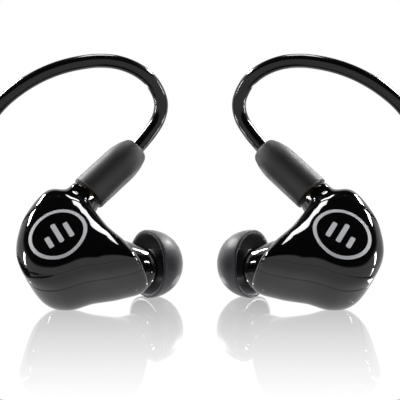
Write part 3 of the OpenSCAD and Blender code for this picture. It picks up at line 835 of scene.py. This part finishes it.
@dataclass
class Earphone:
    """One earphone: its shell halves, mark, nozzle, screen and ear tip."""

    places: Places
    form: ShellForm
    socket_r: float = 2.2
    socket_deep: float = 7.4
    nozzle_r: float = 2.0
    bore_r: float = 1.4
    nozzle_from: float = -7.5
    nozzle_to: float = 5.0
    vent_at: tuple[float, float, float] = (9.2, -6.2, -3.2)
    vent_r: float = 0.8
    badge_at: tuple[float, float] = (0.5, -0.6)
    badge_r: float = 5.3
    badge_line: float = 0.65
    bar_w: float = 0.9
    bar_pitch: float = 2.0
    bar_base: float = -2.2
    bar_soft: float = 0.16
    bar_h: tuple[float, ...] = (2.6, 4.6, 3.6)
    badge_proud: float = 0.015
    badge_deep: float = 0.25
    tip_r: float = 6.25
    tip_h: float = 6.6
    tip_wall: float = 0.65
    tip_fit: float = 0.05
    stem_from: float = 0.5
    stem_wall: float = 0.7
    squareness: float = 2.15

    def shell_half(self, sign: int) -> bpy.types.Object:
        """Makes one half of the shell, with its wall and its bores.

        Args:
            sign: 1 for the face half, -1 for the ear half.

        Returns:
            The half, on the earphone's body.
        """
        word = "outer" if sign > 0 else "inner"
        name = f"{self.places.side.word}_{word}_shell"
        points, faces = self.form.half(sign)
        piece = solid(f"{name}_skin", points, faces, self.places.shell(), GLOSS_SHELL, 50)
        if self.places.side is Side.RIGHT or sign < 0:
            self.face_outwards(piece)
        wall = piece.modifiers.new("wall", "SOLIDIFY")
        wall.thickness, wall.offset, wall.use_rim = self.form.wall * MM, -1, True
        settle(piece, 50)
        cut(piece, self.places.plug(), self.socket_r + 0.005, -self.socket_deep, 2)
        if sign < 0:
            cut(piece, self.places.nozzle(), self.nozzle_r + 0.005, self.nozzle_from - 1, 8)
            vent = (self.places.shell() @ Matrix.Translation(self.vent_at)
                    @ Matrix.Rotation(math.pi / 2, 4, "Y"))
            cut(piece, vent, self.vent_r, -2, 4)
        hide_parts(name)
        return piece

    def face_outwards(self, piece: bpy.types.Object) -> None:
        """Turns an open half's faces away from the shell's middle."""
        middle = self.places.shell() @ Vector((0, 0, 0))
        faces = piece.data.polygons
        out = sum((f.center - middle).dot(f.normal) * f.area for f in faces)
        if out < 0:
            piece.data.flip_normals()

    def slab(self, x: Points, y: Points, wrap: bool) -> tuple[Points, Faces]:
        """A thin slab let into the face, over a grid of places.

        Args:
            x: Places across, one row for each step along.
            y: The same places' other direction.
            wrap: True if the last row joins the first.

        Returns:
            Points and faces.
        """
        rows, wide = x.shape
        level = self.form.face_level(x, y)
        top = np.stack([x, y, level + self.badge_proud], -1)
        low = np.stack([x, y, level - self.badge_deep], -1)[:, ::-1]
        loop = np.concatenate([top, low], 1)
        count = wide * 2
        faces = bands(rows, count, wrap)
        if not wrap:
            for i in (0, rows - 1):
                faces += [(i * count + k, i * count + k + 1, (i + 1) * count - 2 - k,
                           (i + 1) * count - 1 - k) for k in range(wide - 1)]
        return loop.reshape(-1, 3), faces

    def badge(self) -> bpy.types.Object:
        """Makes the face's mark: a plain ring around three level bars."""
        cx, cy = self.badge_at
        turn = np.linspace(0, 2 * math.pi, 180, endpoint=False)[:, None]
        reach = np.linspace(self.badge_r - self.badge_line, self.badge_r, 5)[None]
        parts = [self.slab(cx + reach * np.cos(turn), cy + reach * np.sin(turn), True)]
        for i, high in enumerate(self.bar_h):
            middle = cx + (i - 1) * self.bar_pitch
            along = np.linspace(0, high, 19)[:, None]
            inward = np.minimum(along, high - along) / self.bar_soft
            soft = self.bar_soft * np.clip(1 - inward, 0, 1) ** 2
            across = np.linspace(-1, 1, 7)[None] * (self.bar_w / 2 - soft)
            parts.append(self.slab(middle + across, cy + self.bar_base + along + across * 0, False))
        points: list[Points] = []
        faces: Faces = []
        for some, around in parts:
            start = sum(len(p) for p in points)
            points.append(some)
            faces += [tuple(start + k for k in face) for face in around]
        name = f"{self.places.side.word}_face_badge"
        piece = solid(f"{name}_print", np.concatenate(points), faces, self.places.shell(), BADGE_INK)
        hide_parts(name)
        return piece

    def nozzle(self) -> bpy.types.Object:
        """Makes the sound tube with a rounded lip."""
        section = rounded([
            (self.bore_r, self.nozzle_from, 0), (self.nozzle_r, self.nozzle_from, 0.1),
            (self.nozzle_r, self.nozzle_to, 0.25), (self.bore_r, self.nozzle_to, 0.15)])
        points, faces = lathe(section, 72)
        name = f"{self.places.side.word}_nozzle"
        piece = solid(f"{name}_tube", points, faces, self.places.nozzle(), NOZZLE_PLASTIC)
        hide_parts(name)
        return piece

    def screen(self) -> list[bpy.types.Object]:
        """Makes the wax screen: crossing wires in a pressed ring."""
        name = f"{self.places.side.word}_nozzle_screen"
        place = self.places.nozzle() @ Matrix.Translation((0, 0, self.nozzle_to - 0.28))
        wires = weave_rule(self.bore_r - 0.03, 15, 0.035).make(f"{name}_wires", place, STEEL_MESH)
        rim_r = self.bore_r - 0.005
        section = rounded([(1.15, -0.1, 0), (rim_r, -0.1, 0), (rim_r, 0.16, 0.05), (1.15, 0.16, 0.05)])
        points, faces = lathe(section, 64)
        rim = solid(f"{name}_rim", points, faces, place, STEEL_MESH)
        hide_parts(name)
        return [wires, rim]

    def ear_tip(self) -> bpy.types.Object:
        """Makes the silicone umbrella on its own stem."""
        square = self.squareness

        def curve(r: float, z: float, low: float, count: int) -> list[tuple[float, float]]:
            """Part of a section from the radius low out to the rim."""
            far = math.acos((low / r) ** (square / 2))
            return [(r * math.cos(a) ** (2 / square), z * math.sin(a) ** (2 / square))
                    for a in np.linspace(far, 0.06, count)]

        stem = self.nozzle_r + self.stem_wall
        mouth = self.bore_r + 0.3
        outer = curve(self.tip_r, self.tip_h, mouth + 0.55, 40)
        inner = curve(self.tip_r - self.tip_wall, self.tip_h - 1.5, stem + 0.05, 30)[::-1]
        lip = rounded([(mouth, 4.9, 0), (mouth, outer[0][1] + 0.02, 0.3),
                       (mouth + 0.56, outer[0][1], 0)])
        rim = [(self.tip_r, 0.12), (self.tip_r - 0.08, 0.01), (self.tip_r - 0.3, -0.04),
               (self.tip_r - 0.54, 0.01), (self.tip_r - self.tip_wall, 0.12)]
        bore = self.nozzle_r + self.tip_fit
        foot = rounded([(stem, 2.2, 0), (stem, self.stem_from, 0.25), (bore, self.stem_from, 0.2),
                        (bore, 5.05, 0.0),
                        (mouth, 5.05, 0)])
        section = lip[1:] + outer[1:] + rim + inner + foot
        points, faces = lathe(section, 120)
        name = f"{self.places.side.word}_ear_tip"
        piece = solid(f"{name}_umbrella", points, faces, self.places.nozzle(), SILICONE, 50)
        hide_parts(name)
        return piece

    def build(self) -> list[bpy.types.Object]:
        """Makes every piece and puts each on its body."""
        word = self.places.side.word
        on_shell = [self.shell_half(1), self.shell_half(-1), self.badge(), self.nozzle(),
                    *self.screen()]
        for piece in on_shell:
            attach(piece, f"{word}_earphone")
        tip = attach(self.ear_tip(), f"{word}_ear_tip")
        return [*on_shell, tip]


# ---------- cable ----------
@dataclass
class EarHook:
    """The plug's barrel and the formed tube that goes over the ear."""

    places: Places
    barrel_r: float = 3.4
    barrel_h: float = 12.6
    straight: float = 0.6
    wire_r: float = 0.86
    plug_r: float = 1.5
    plug_rise: float = 2.0
    tube_r: float = 1.3
    path: tuple[tuple[float, float, float], ...] = (
        (-9.4, 11.2, 29.2), (-7.8, 12.6, 31.6), (-7.2, 13.4, 34.1), (-7.7, 13.6, 36.4),
        (-9.2, 13.4, 38.9), (-11.7, 13, 40.9), (-14.9, 12.5, 42.2), (-18.4, 12, 42.6),
        (-22, 11.2, 42.3), (-25.6, 10.4, 41.5), (-29.2, 9.6, 40.1), (-32.8, 8.8, 38), (-36.2, 8, 35.2),
        (-39, 7.7, 31.6), (-40.9, 8.4, 27.6), (-42, 10.3, 23.6), (-42.6, 13.3, 20), (-43, 17, 17),
        (-43.3, 20.9, 14.6), (-43.4, 24.4, 12.2), (-43.4, 27.2, 9.6), (-43.4, 28.4, 6.6))

    def barrel(self) -> bpy.types.Object:
        """Makes the rubber barrel, straight at the earphone and drawn in at its top."""
        start = self.barrel_h * self.straight
        rise = (self.barrel_h - start) * 1.3
        last = math.asin((self.barrel_h - 0.35 - start) / rise)
        shoulder = [(self.barrel_r * math.cos(a) ** 0.9, start + rise * math.sin(a))
                    for a in np.linspace(0, last, 26)]
        top = rounded([(*shoulder[-1], 0), (shoulder[-1][0] - 0.25, self.barrel_h, 0.2),
                       (self.wire_r, self.barrel_h, 0)])
        foot = rounded([(self.wire_r, self.plug_rise, 0), (self.plug_r, self.plug_rise, 0),
                        (self.plug_r, 0, 0.1), (self.barrel_r, 0, 0.28), (self.barrel_r, 1.2, 0)])
        points, faces = lathe(foot + shoulder + top[1:], 120)
        name = f"{self.places.side.word}_plug_barrel"
        piece = solid(f"{name}_rubber", points, faces, self.places.plug(), MATTE_BARREL, 45)
        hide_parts(name)
        return piece

    def tube(self) -> bpy.types.Object:
        """Makes the hook's tube along its path."""
        base = self.places.base()
        start = base.inverted() @ self.places.plug() @ Vector((0, 0, self.barrel_h))
        path = smooth_line([tuple(start), *self.path], 8)
        name = f"{self.places.side.word}_hook_tube"
        piece = tube_rule(self.tube_r).make(f"{name}_sleeve", base, HOOK_TUBE, path)
        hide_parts(name)
        return piece

    def build(self) -> list[bpy.types.Object]:
        """Makes both pieces on the harness."""
        return [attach(piece, "harness") for piece in (self.barrel(), self.tube())]


@dataclass
class Splitter:
    """The splitter, its strain relief and the slider that runs on the two branches."""

    at: tuple[float, float, float] = (-36.31, -32.43, 1.6)
    turn: float = 97.8
    wide: float = 5.8
    thick: float = 3.2
    inlet: float = -3.0
    long: float = 13.0
    relief_long: float = 5.0
    relief_r: tuple[float, float] = (1.6, 1.2)
    slider_at: float = 8.0
    slider_long: float = 5.0
    slider_wide: float = 5.2
    slider_thick: float = 3.0
    slider_lift: float = 0.1
    bore_room: float = 0.16
    pitch: float = 1.9
    branch_d: float = 1.5

    def place(self) -> Matrix:
        """The splitter's axis, from its inlet to its outlet."""
        return scaled(Matrix.Translation((0, STAND_Y, 0)), Matrix.Translation(self.at),
                      Matrix.Rotation(math.radians(self.turn), 4, "Z"),
                      Matrix.Rotation(math.pi / 2, 4, "Y"))

    @staticmethod
    def pill(wide: float, thick: float, levels: Iterable[tuple[float, float]]) -> tuple[Points, Faces]:
        """A flat pill with rounded ends.

        Args:
            wide: Its width.
            thick: Its thickness.
            levels: Inset and height of each ring.

        Returns:
            Points and faces.
        """
        half = np.linspace(-math.pi / 2, math.pi / 2, 17)
        points: list[tuple[float, float, float]] = []
        rings = 0
        for inset, z in levels:
            r, off = thick / 2 - inset, (wide - thick) / 2
            points += [(r * math.sin(a), off + r * math.cos(a), z) for a in half]
            points += [(-r * math.sin(a), -off - r * math.cos(a), z) for a in half]
            rings += 1
        n = 2 * len(half)
        faces = bands(rings, n)
        faces += [tuple(range(n - 1, -1, -1)), tuple((rings - 1) * n + k for k in range(n))]
        return np.array(points), faces

    @staticmethod
    def ends(low: float, high: float, soft: float) -> list[tuple[float, float]]:
        """Insets and heights of a body with rounded ends."""
        turn = np.linspace(0, math.pi / 2, 6)
        start = [(soft * (1 - math.sin(a)), low + soft * (1 - math.cos(a))) for a in turn]
        return start + [(inset, low + high - z) for inset, z in reversed(start)]

    def housing(self) -> bpy.types.Object:
        """Makes the splitter's body with three grip grooves."""
        levels = self.ends(self.inlet, self.long, 0.7)
        grooves = [(inset, z + 5.2 + 1.5 * i) for i in range(3)
                   for inset, z in ((0, -0.35), (0.14, -0.12), (0.14, 0.12), (0, 0.35))]
        levels = levels[:6] + grooves + levels[6:]
        points, faces = self.pill(self.wide, self.thick, levels)
        piece = solid("splitter_body", points, faces, self.place(), SOFT_BLACK)
        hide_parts("splitter_housing")
        return piece

    def slider(self) -> bpy.types.Object:
        """Makes the slider with its two bores."""
        low = -self.slider_at - self.slider_long
        points, faces = self.pill(self.slider_wide, self.slider_thick,
                                  self.ends(low, low + self.slider_long, 0.55))
        place = self.place() @ Matrix.Translation((self.slider_lift, 0, 0))
        piece = solid("cable_slider_body", points, faces, place, SOFT_BLACK)
        for side in (-1, 1):
            bore = place @ Matrix.Translation((0, side * self.pitch / 2, 0))
            cut(piece, bore, self.branch_d / 2 + self.bore_room, low - 1, low + self.slider_long + 1)
        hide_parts("cable_slider")
        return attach(piece, "slider")

    def build(self) -> list[bpy.types.Object]:
        """Makes the housing, the relief and the slider."""
        outlet = self.place() @ Matrix.Translation((0, 0, self.long))
        pieces = [self.housing(),
                  *relief("splitter_relief", outlet, self.relief_r, self.relief_long, 6)]
        for piece in pieces:
            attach(piece, "harness")
        return [*pieces, self.slider()]


def relief(node: str, place: Matrix, radii: tuple[float, float], long: float,
           ribs: int) -> list[bpy.types.Object]:
    """Makes a tapered strain relief with ribs round it.

    Args:
        node: The CAD node that it stands for.
        place: Its axis, from its start.
        radii: Radius at its start and at its end.
        long: Its length.
        ribs: Number of ribs.

    Returns:
        The taper and its ribs.
    """
    thick = 0.16
    first, last = (r - thick * 1.2 for r in radii)
    section = rounded([(0, 0, 0), (first, 0, 0.1), (last, long, 0.1), (0, long, 0)])
    section = [(0.0, 0.0), *section[1:-1], (0.0, long)]
    points, faces = lathe(section, 56, closed=False)
    core = solid(f"{node}_core", points, faces, place, SOFT_BLACK)
    lift = Matrix.Translation((0, 0, 0.5))
    rule = rib_rule(ribs, first, last, long - 1.0, thick)
    rings = rule.make(f"{node}_ribs", place @ lift, SOFT_BLACK)
    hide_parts(node)
    return [core, rings]


@dataclass
class Cable:
    """The branch cords and the main cord with its stored coil."""

    branch_d: float = 1.5
    main_d: float = 1.9
    coil_at: tuple[float, float] = (-51.2, 0)
    turn_r: tuple[float, float, float] = (8.6, 10.5, 12.4)
    layer_z: tuple[float, float, float, float] = (1.45, 3.35, 5.25, 7.15)
    tie_turn: float = 135.0
    tie_r: tuple[float, float] = (6.57, 14.03)
    tie_top: float = 8.6
    tie_wall: float = 0.45
    tie_half: float = 2.5
    step_turn: float = 60.0
    last_turn: float = 3780.0
    left_path: tuple[tuple[float, float, float], ...] = (
        (-43.4, 28.4, 6.6), (-43.5, 28.9, 4.2), (-43.9, 28.4, 2.1), (-45.4, 26.9, 1),
        (-48, 25.6, 0.75), (-52, 24.2, 0.75), (-57, 21.6, 0.75), (-61.5, 17.2, 0.75),
        (-64.4, 11, 0.75), (-65.5, 4, 0.75), (-65.5, -5, 0.75), (-65.4, -15, 0.75), (-65.4, -25, 0.75),
        (-65.4, -35, 0.75), (-65.2, -44, 0.75), (-63.3, -50.6, 0.75), (-58.8, -54.6, 0.75),
        (-52, -55.7, 0.75), (-44.8, -55.7, 0.85), (-39.4, -54.8, 1), (-36.2, -52.6, 1.3),
        (-34.94, -49.4, 1.5), (-35.62, -44.45, 1.5), (-36.16, -40.49, 1.5), (-37.25, -32.56, 1.5))
    right_path: tuple[tuple[float, float, float], ...] = (
        (43.4, 28.4, 6.6), (43.5, 28.9, 4.2), (43.6, 28.3, 2.1), (43.6, 26, 1), (43.4, 22, 0.75),
        (43, 15, 0.75), (42, 7, 0.75), (40.8, -2, 0.75), (39.6, -11, 0.75), (38.4, -20, 0.75),
        (37.2, -29, 0.75), (35.9, -37, 0.75), (34.4, -44, 0.75), (32.4, -50, 0.75),
        (28.2, -54.9, 0.75), (19, -56.4, 0.75), (5, -56.4, 0.75), (-9, -56.4, 0.75), (-20, -56.4, 0.8),
        (-26.5, -56, 0.9), (-30.6, -54, 1.1), (-32.6, -51.5, 1.35), (-33.06, -49.14, 1.5),
        (-33.74, -44.19, 1.5), (-34.28, -40.23, 1.5), (-35.37, -32.3, 1.5))
    lead_in: tuple[tuple[float, float, float], ...] = (
        (-38.75, -14.54, 1.6), (-39.1, -10, 1.5), (-39, -5, 1.45))
    lead_out: tuple[tuple[float, float, float], ...] = (
        (-63.75, -4, 7), (-62.7, -8, 5.8), (-60.6, -11.4, 4.5), (-59.5, -14.4, 4), (-59.5, -15.97, 4))

    @staticmethod
    def stood(path: Iterable[Sequence[float]]) -> list[tuple[float, float, float]]:
        """The path moved onto the row frame's middle."""
        return [(x, y + STAND_Y, z) for x, y, z in path]

    def coil(self) -> list[tuple[float, float, float]]:
        """The coil's points: each turn steps in or out, or up, in a sector of its own."""
        low, mid, high = self.turn_r
        steps_r = ((300, mid), (660, low), (1260, mid), (1620, high), (2220, mid), (2580, low),
                   (3180, mid), (3540, high))
        steps_z = tuple(zip((960, 1920, 2880), self.layer_z[1:]))

        def level(turn: float, first: float, steps: Iterable[tuple[float, float]]) -> float:
            """The value after the steps so far, moving smoothly through each."""
            now = first
            for start, then in steps:
                share = min(max((turn - start) / self.step_turn, 0), 1)
                now += (then - now) * share * share * (3 - 2 * share)
            return now

        made = []
        for turn in np.arange(0, self.last_turn + 1, 15.0):
            r, z = level(turn, high, steps_r), level(turn, self.layer_z[0], steps_z)
            made.append((self.coil_at[0] + r * math.cos(math.radians(turn)),
                         self.coil_at[1] + r * math.sin(math.radians(turn)), z))
        return made

    def branch(self, side: Side) -> float:
        """Args:
            side: Whose branch it is.

        Returns:
            Its length in metres.
        """
        path = self.stood(self.left_path if side is Side.LEFT else self.right_path)
        name = f"{side.word}_branch_cord"
        piece, length = cord_curve(f"{name}_jacket", path, self.branch_d, CORD_JACKET)
        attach(piece, "harness")
        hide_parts(name)
        return length

    def main(self, with_pieces: Sequence[Any]) -> float:
        """Args:
            with_pieces: The jack's pieces and the tie; not used.

        Returns:
            Its length in metres.
        """
        path = self.stood([*self.lead_in, *self.coil(), *self.lead_out])
        piece, length = cord_curve("main_cord_jacket", path, self.main_d, CORD_JACKET, steps=4)
        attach(piece, "harness")
        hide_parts("main_cord_lead_in", "main_cord_coil", "main_cord_lead_out")
        return length

    def tie(self) -> bpy.types.Object:
        """Makes the woven strap round the coil, with its overlapped end on top."""
        place = scaled(Matrix.Translation((0, STAND_Y, 0)), Matrix.Translation((*self.coil_at, 0)),
                       Matrix.Rotation(math.radians(self.tie_turn), 4, "Z"))
        (low, high), top, wall, half = self.tie_r, self.tie_top, self.tie_wall, self.tie_half
        loops = []
        for off in (0.0, wall):
            corners = [(low + off, off, 1.3), (high - off, off, 1.3), (high - off, top - off, 1.3),
                       (low + off, top - off, 1.3)]
            loops.append(rounded(corners, 9))
        count = len(loops[0])
        across = [(-half, 0.5), (-half + 0.1, 0.12), (-half + 0.3, 0), (half - 0.3, 0),
                  (half - 0.1, 0.12), (half, 0.5)]
        points: list[tuple[float, float, float]] = []
        for y, thin in across:
            for k in range(count):
                (ax, az), (bx, bz) = loops[0][k], loops[1][k]
                points.append((ax + (bx - ax) * thin, y, az + (bz - az) * thin))
        for y, thin in reversed(across):
            for k in range(count):
                (ax, az), (bx, bz) = loops[0][k], loops[1][k]
                points.append((bx + (ax - bx) * thin * 0.9, y, bz + (az - bz) * thin * 0.9))
        faces = bands(2 * len(across), count, wrap=True)
        piece = solid("coil_tie_strap", np.array(points), faces, place, TIE_FABRIC)
        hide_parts("coil_tie")
        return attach(piece, "harness")


@dataclass
class Jack:
    """The stereo jack: relief, housing and its four turned contacts."""

    at: tuple[float, float, float] = (-59.5, -16, 4)
    relief_long: float = 7.0
    relief_r: tuple[float, float] = (1.5, 2.2)
    housing_long: float = 14.0
    housing_r: float = 4.0
    grooves: int = 5
    contact_r: float = 1.75
    core_r: float = 1.2

    def place(self, along: float = 0) -> Matrix:
        """The jack's axis, from the given distance after the cord."""
        return scaled(Matrix.Translation((0, STAND_Y, 0)), Matrix.Translation(self.at),
                      Matrix.Rotation(math.pi / 2, 4, "X"), Matrix.Translation((0, 0, along)))

    def housing(self) -> bpy.types.Object:
        """Makes the housing with grip grooves round its middle."""
        long, r = self.housing_long, self.housing_r
        grooves = [(r - deep, 4.2 + 1.4 * i + step, 0.1) for i in range(self.grooves)
                   for deep, step in ((0, -0.35), (0.22, -0.2), (0.22, 0.2), (0, 0.35))]
        section = rounded([(0, 0, 0), (2.9, 0, 0.2), (r, 1.2, 0.7), *grooves, (r, long, 0.5),
                           (0, long, 0)], 5)
        section = [(0.0, 0.0), *section[1:-1], (0.0, long)]
        points, faces = lathe(section, 96, closed=False)
        piece = solid("jack_housing_body", points, faces, self.place(self.relief_long), SOFT_BLACK)
        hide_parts("jack_housing")
        return piece

    def contacts(self) -> list[bpy.types.Object]:
        """Makes the sleeve, ring, tip and insulators."""
        r, core = self.contact_r, self.core_r
        place = self.place(self.relief_long + self.housing_long)

        def band(low: float, high: float) -> list[tuple[float, float]]:
            """Section of one band."""
            return rounded([(core, low, 0), (r, low, 0.06), (r, high, 0.06), (core, high, 0)], 4)

        tip = [(0.0, 0.0), (0.7, 0.0), (0.7, 10.0), *rounded([
            (0.7, 10, 0), (r, 10, 0.06), (r, 10.55, 0.1), (1.28, 11.2, 0.35), (1.7, 12.1, 0.35),
            (0.55, 13.85, 0.4), (0, 14, 0)], 6)[1:-1], (0.0, 14.0)]
        made = []
        for node, sections, finish in (
                ("jack_sleeve", [band(0, 6.2)], PLUG_STEEL),
                ("jack_ring", [band(6.9, 9.3)], PLUG_STEEL),
                ("jack_insulators", [band(6.2, 6.9), band(9.3, 10.0)], BLACK_INSULATOR),
                ("jack_tip", [tip], PLUG_STEEL)):
            points, faces = np.zeros((0, 3)), []
            for section in sections:
                some, around = lathe(section, 72, closed=node != "jack_tip")
                faces += [tuple(len(points) + k for k in face) for face in around]
                points = np.concatenate([points, some])
            piece = solid(f"{node}_turned", points, faces, place, finish)
            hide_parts(node)
            made.append(piece)
        return made

    def build(self) -> list[bpy.types.Object]:
        """Makes every piece of the jack on the harness."""
        pieces = [*relief("jack_relief", self.place(), self.relief_r, self.relief_long, 7),
                  self.housing(), *self.contacts()]
        return [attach(piece, "harness") for piece in pieces]


# ---------- pieces that keep their CAD shape ----------
KEPT_FINISHES: dict[str, Finish] = {
    "socket_body": GOLD_CONTACT, "socket_insulator": WHITE_INSULATOR, "vent_screen": STEEL_MESH,
    "crossover_board": BOARD_GREEN, "driver_frame": DRIVER_STEEL, "driver_yoke": DRIVER_STEEL,
    "driver_magnet": MAGNET_DARK, "voice_coil": COIL_COPPER, "diaphragm": DIAPHRAGM_FILM,
    "driver_cover": DRIVER_STEEL, "snap_ring": PLUG_STEEL, "plug_shell": GOLD_CONTACT,
    "plug_pin": GOLD_CONTACT}


def dress_kept_nodes() -> int:
    """Gives the CAD nodes that stay their finishes.

    Returns:
        The number of nodes dressed.
    """
    done = 0
    for side in Side:
        for part, finish in KEPT_FINISHES.items():
            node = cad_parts[f"{side.word}_{part}"]
            if not node.material_slots:
                node.data.materials.append(finish.build())
            for slot in node.material_slots:
                slot.material = finish.build()
            done += 1
    return done


# ---------- studio ----------
@dataclass
class Softbox:
    """A rectangular studio light."""

    name: str
    at: tuple[float, float, float]
    to: tuple[float, float, float]
    size: tuple[float, float]
    power: float
    along: tuple[float, float, float] = (0.0, 0.0, 1.0)

    def place(self) -> None:
        """Puts the light up, facing its aim, with its height along the given direction."""
        data = bpy.data.lights.new(self.name, "AREA")
        data.shape, data.size, data.size_y, data.energy = "RECTANGLE", *self.size, self.power
        made = put(self.name, data)
        back = (Vector(self.at) - Vector(self.to)).normalized()
        across = Vector(self.along).cross(back).normalized()
        turned = Matrix((across, back.cross(across), back)).transposed()
        made.matrix_world = Matrix.Translation(self.at) @ turned.to_4x4()


@dataclass
class Studio:
    """The camera, a lit white floor that mirrors at a grazing angle, the surround and the lights."""

    aim: tuple[float, float, float] = (0.0, -10.97, 19.74)
    distance: float = 250.0
    elevation: float = 12.0
    view_width: float = 70.4
    sensor: float = 36.0
    floor_half: float = 2.5
    mirror_gain: float = 2.46
    mirror_full_y: float = -0.0059
    mirror_none_y: float = -0.0574
    dark_from: float = 0.45
    dark_to: float = 0.60

    def camera(self) -> None:
        """Sets the camera."""
        data = bpy.data.cameras.new("camera")
        data.sensor_width = self.sensor
        data.lens = self.sensor * self.distance / self.view_width
        data.clip_start, data.clip_end = 0.01, 20
        made = put("camera", data)
        tilt = math.radians(self.elevation)
        back = Vector((0, -math.cos(tilt), math.sin(tilt)))
        made.location = (Vector(self.aim) + back * self.distance) * MM
        made.rotation_euler = (-back).to_track_quat("-Z", "Y").to_euler()
        bpy.context.scene.camera = made

    def floor(self) -> None:
        """Lays the floor: opal acrylic lit from below, its mirror fading out towards the front."""
        h = self.floor_half
        data = bpy.data.meshes.new("studio_floor")
        data.from_pydata([(-h, -h, 0), (h, -h, 0), (h, h, 0), (-h, h, 0)], [], [(0, 1, 2, 3)])
        made = bpy.data.materials.new("lit_opal_acrylic")
        made.use_nodes = True
        tree = made.node_tree
        tree.nodes.clear()
        place = add_node(tree, "ShaderNodeTexCoord").outputs["Object"]
        across = add_node(tree, "ShaderNodeSeparateXYZ", None, {0: place})
        fade = add_node(tree, "ShaderNodeMapRange", None, {
            "Value": across.outputs["Y"], "From Min": self.mirror_none_y,
            "From Max": self.mirror_full_y, "To Min": 0.0, "To Max": self.mirror_gain})
        fresnel = add_node(tree, "ShaderNodeFresnel", None, {"IOR": 1.5})
        share = add_node(tree, "ShaderNodeMath", {"operation": "MULTIPLY", "use_clamp": True}, {
            0: fade.outputs[0], 1: fresnel.outputs[0]})
        lit = add_node(tree, "ShaderNodeEmission", None, {"Color": (1, 1, 1, 1), "Strength": 1.0})
        mirror = add_node(tree, "ShaderNodeBsdfGlossy", None, {"Color": (1, 1, 1, 1), "Roughness": 0.0})
        mixed = add_node(tree, "ShaderNodeMixShader", None, {
            0: share.outputs[0], 1: lit.outputs[0], 2: mirror.outputs[0]})
        add_node(tree, "ShaderNodeOutputMaterial", None, {"Surface": mixed.outputs[0]})
        data.materials.append(made)
        floor = put("studio_floor", data)

    def surround(self) -> None:
        """Lights the room: white round the horizon, dark overhead."""
        world = bpy.data.worlds.new("studio_surround")
        bpy.context.scene.world = world
        world.use_nodes = True
        tree = world.node_tree
        tree.nodes.clear()
        way = add_node(tree, "ShaderNodeTexCoord").outputs["Generated"]
        up = add_node(tree, "ShaderNodeSeparateXYZ", None, {0: way}).outputs["Z"]
        level = add_node(tree, "ShaderNodeMapRange", {"interpolation_type": "SMOOTHSTEP"}, {
            "Value": up, "From Min": self.dark_from, "From Max": self.dark_to,
            "To Min": 1.0, "To Max": 0.0})
        light = add_node(tree, "ShaderNodeBackground", None, {
            "Color": (1, 1, 1, 1), "Strength": level.outputs[0]})
        add_node(tree, "ShaderNodeOutputWorld", None, {"Surface": light.outputs[0]})

    def lights(self) -> None:
        """Puts up the softboxes."""
        for side in (-1, 1):
            Softbox("edge_strip", (side * 0.60, 0.54, 0.58), (side * 0.025, -0.01, 0.017),
                    (0.07, 0.50), 11.0, (side * -0.19, 0.36, -0.15)).place()
            Softbox("tube_strip", (side * 0.97, 0.08, 0.28), (side * 0.01, 0, 0.035),
                    (0.05, 0.40), 7.0).place()
        Softbox("back_box", (0, 0.46, 0.88), (0, -0.01, 0.015), (0.24, 0.36), 5.0,
                (0, -0.88, 0.46)).place()

    def build(self) -> None:
        """Sets up everything but the object."""
        self.camera()
        self.floor()
        self.surround()
        self.lights()
        bpy.context.scene.view_settings.view_transform = "Standard"


def main() -> None:
    """Builds the studio, the cable, the earphones and the rest, in order."""
    logging.basicConfig(level=logging.INFO, format="%(message)s")
    Studio().build()
    cable = Cable()
    splitter = Splitter().build()
    jack = Jack().build()
    tie = cable.tie()
    lengths = {
        "left branch": cable.branch(Side.LEFT),
        "right branch": cable.branch(Side.RIGHT),
        "main cord": cable.main([*jack, tie])}
    for word, length in lengths.items():
        log.info("%s: %.3f m", word, length)
    form = ShellForm()
    for side in Side:
        places = Places(side)
        for piece in [*EarHook(places).build(), *Earphone(places, form).build()]:
            log.info("%s: %d faces", piece.name, len(piece.data.polygons))
    log.info("%d CAD nodes dressed", dress_kept_nodes())


if __name__ == "__main__":
    main()
